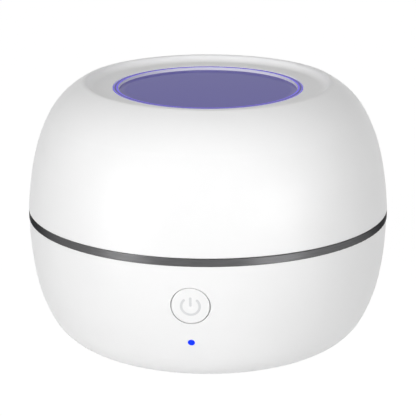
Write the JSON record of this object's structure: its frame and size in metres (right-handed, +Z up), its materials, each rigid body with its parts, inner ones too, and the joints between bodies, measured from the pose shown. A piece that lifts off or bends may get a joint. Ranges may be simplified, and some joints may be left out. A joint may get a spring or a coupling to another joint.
{
  "type": "uv pacifier sterilizer",
  "caption": "Round free-standing UV sterilizer pot with a lift-off lid, a tinted window on top, a metal ring, a front power button and a charging socket at the back.",
  "frame": {"origin": "on the surface that the feet stand on, under the centre of the round body", "axes": "+Z up, the power button faces -Y, the charging socket faces +Y"},
  "size_m": [0.1204, 0.1204, 0.0888],
  "materials": {
    "white_plastic": "gloss",
    "button_plastic": "gloss",
    "ring_metal": "brushed",
    "chromed_plastic": "mirror",
    "tinted_window": "clear tint",
    "black_tape": "matte",
    "quartz": "polished",
    "seal_silicone": "matte",
    "foot_rubber": "matte",
    "plate_plastic": "fine texture",
    "screw_steel": "zinc plated",
    "magnet_nickel": "nickel plated",
    "circuit_board": "solder mask",
    "aluminium_board": "white mask on aluminium",
    "led_ceramic": "ceramic",
    "black_package": "moulded",
    "socket_white": "moulded",
    "socket_steel": "satin",
    "switch_plastic": "moulded",
    "plunger_plastic": "moulded",
    "light_guide": "clear acrylic",
    "battery_wrap": "foil pouch",
    "foam": "foam",
    "red_lead": "insulation",
    "white_lead": "insulation",
    "rack_plastic": "satin"
  },
  "bodies": {
    "base": {"base_shell": "white_plastic", "trim_ring": "ring_metal", "base_plate": "plate_plastic", "base_plate_screws": "screw_steel", "rubber_feet": "foot_rubber", "chamber_bowl": "chromed_plastic", "bowl_screws": "screw_steel", "chamber_seal": "seal_silicone", "base_magnets": "magnet_nickel", "quartz_lens": "quartz", "lens_gasket": "seal_silicone", "uvc_board": "aluminium_board", "uvc_board_screws": "screw_steel", "uvc_leds": "led_ceramic", "control_board": "circuit_board", "control_board_screws": "screw_steel", "tact_switch": "switch_plastic", "lid_sensor": "black_package", "indicator_chip": "led_ceramic", "light_pipe": "light_guide", "main_board": "circuit_board", "main_board_screws": "screw_steel", "usb_socket": "socket_steel", "board_chips": "black_package", "inductor": "black_package", "lead_sockets": "socket_white", "foam_pad": "foam", "battery": "battery_wrap", "led_leads": "red_lead", "battery_leads": "red_lead", "control_leads": "white_lead"},
    "button": {"power_button": "button_plastic"},
    "plunger": {"switch_plunger": "plunger_plastic"},
    "rack": {"pacifier_rack": "rack_plastic"},
    "lid": {"lid_shell": "white_plastic", "window": "tinted_window", "window_tape": "black_tape", "lid_liner": "chromed_plastic", "lid_magnets": "magnet_nickel", "lid_screws": "screw_steel"}
  },
  "joints": [
    {"name": "button_press", "type": "slide", "parent": "base", "child": "button", "axis": [0, 0.9914, 0.1305], "range_m": [0, 0.0006], "stiffness_N_per_m": 1500, "springref_m": -0.0003},
    {"name": "plunger_press", "type": "slide", "parent": "base", "child": "plunger", "axis": [0, 0.9914, 0.1305], "range_m": [0, 0.0006]},
    {"name": "rack_lift", "type": "slide", "parent": "base", "child": "rack", "axis": [0, 0, 1], "range_m": [0, 0.03]},
    {"name": "lid_lift", "type": "slide", "parent": "base", "child": "lid", "axis": [0, 0, 1], "range_m": [0, 0.1]}
  ],
  "couplings": [
    {"joint": "plunger_press", "follows": "button_press", "ratio": 1}
  ]
}
